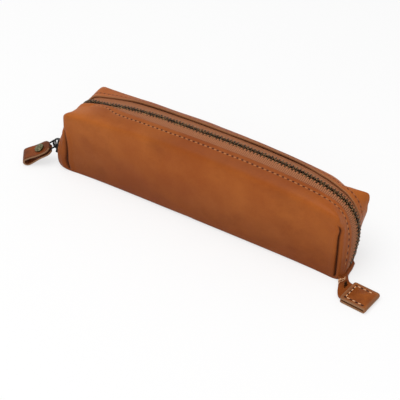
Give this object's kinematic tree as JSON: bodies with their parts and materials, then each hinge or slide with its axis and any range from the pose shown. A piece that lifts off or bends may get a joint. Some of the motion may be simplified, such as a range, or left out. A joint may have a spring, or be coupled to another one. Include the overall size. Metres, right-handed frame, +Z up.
{
  "type": "zip pen case",
  "caption": "Long soft boxed leather pen case with a metal zip over its top and down both ends, a leather zip pull and a stitched end tab.",
  "frame": {"origin": "middle of the case's flat base, on the surface it rests on", "axes": "+X along the zip to the end with the square tab, +Y to the back, +Z up"},
  "size_m": [0.2651, 0.0582, 0.055],
  "materials": {
    "leather": "smooth cognac, mottled",
    "woven_tape": "woven, rust brown",
    "antique_brass": "aged dark",
    "black_metal": "black, worn",
    "rivet_brass": "dull yellow",
    "thread": "waxed, light orange"
  },
  "bodies": {
    "case": {"hide": "leather", "zip_tape_front": "woven_tape", "zip_tape_back": "woven_tape", "zip_teeth_front": "antique_brass", "zip_teeth_back": "antique_brass", "top_stop_front": "antique_brass", "top_stop_back": "antique_brass", "bottom_stop": "antique_brass", "zip_stitch_front": "thread", "zip_stitch_back": "thread", "tail_strip": "leather", "end_tab": "leather", "tab_stitch": "thread"},
    "slider": {"slider_body": "black_metal", "slider_crown": "black_metal"},
    "link": {"pull_link": "black_metal"},
    "pull": {"pull_strap": "leather", "rivet_post": "rivet_brass", "rivet_cap": "rivet_brass"}
  },
  "joints": [
    {"name": "slider_travel", "type": "hinge", "parent": "case", "child": "slider", "pos_m": [-0.10322, 0.01902, 0.00489], "axis": [-0.9584, 0.2713, 0.0883], "range_deg": [0, 23], "deforming": ["zip_tape_front", "zip_tape_back", "zip_teeth_front", "zip_teeth_back"]},
    {"name": "link_swing", "type": "hinge", "parent": "slider", "child": "link", "pos_m": [-0.11508, -0.01369, 0.01441], "axis": [-0.7072, 0.7008, 0.0938], "range_deg": [-40, 90]},
    {"name": "strap_turn", "type": "hinge", "parent": "link", "child": "pull", "pos_m": [-0.12259, -0.02054, 0.00902], "axis": [-0.2723, -0.3924, 0.8785], "range_deg": [-60, 60]}
  ]
}
